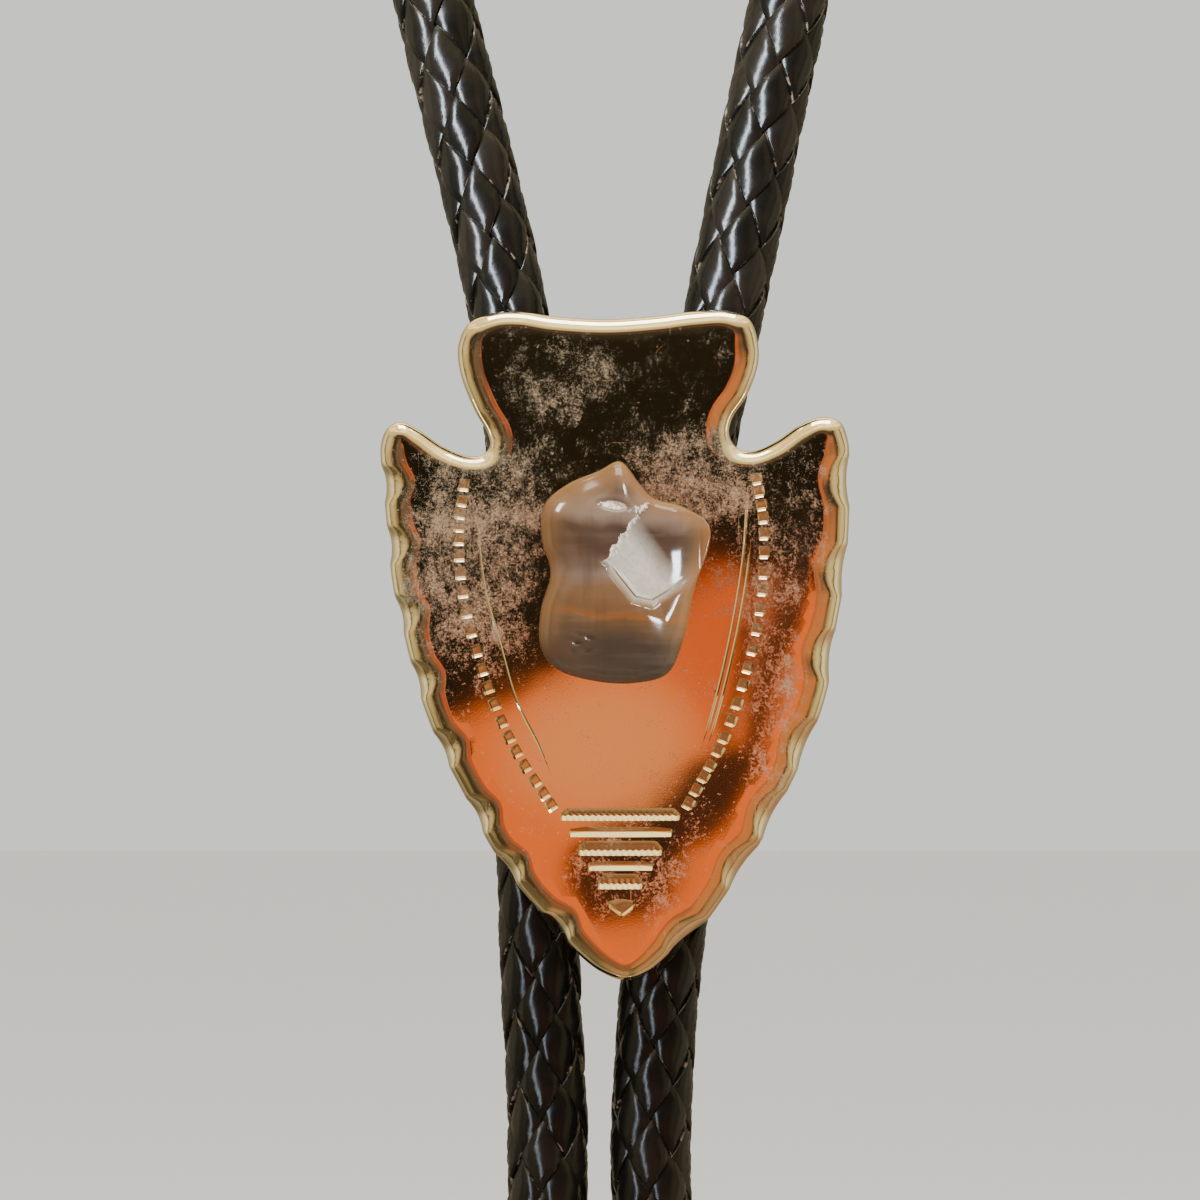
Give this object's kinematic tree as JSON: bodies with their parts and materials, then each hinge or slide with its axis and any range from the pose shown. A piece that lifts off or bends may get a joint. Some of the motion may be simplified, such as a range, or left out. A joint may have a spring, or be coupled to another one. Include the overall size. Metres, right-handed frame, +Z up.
{
  "type": "bolo tie",
  "caption": "Bolo tie: a stamped arrowhead slide with a polished agate chip on a braided black cord with metal tips, hanging as worn.",
  "frame": {"origin": "where the nape of the neck carries the back of the cord's loop", "axes": "+Z up, the slide hangs below and in front and its face looks along -Y, +X to the right of a viewer who faces the slide"},
  "size_m": [0.1252, 0.1567, 0.3514],
  "materials": {
    "gold_plate": "thin pale gold plate on stamped brass, mirror bright with fine tarnish specks and hairline scratches",
    "agate": "polished grey-brown banded agate, slightly translucent, with one frosted fracture facet",
    "clip_steel": "plain nickel-plated spring steel",
    "braid": "glossy black flat strands, round braid, with pale cut edges"
  },
  "bodies": {
    "root": {"slide": "gold_plate", "stone": "agate", "cord_clip": "clip_steel", "neck_cord": "braid", "tail_left": "braid", "tail_right": "braid", "tip_left": "gold_plate", "tip_right": "gold_plate"}
  },
  "joints": []
}
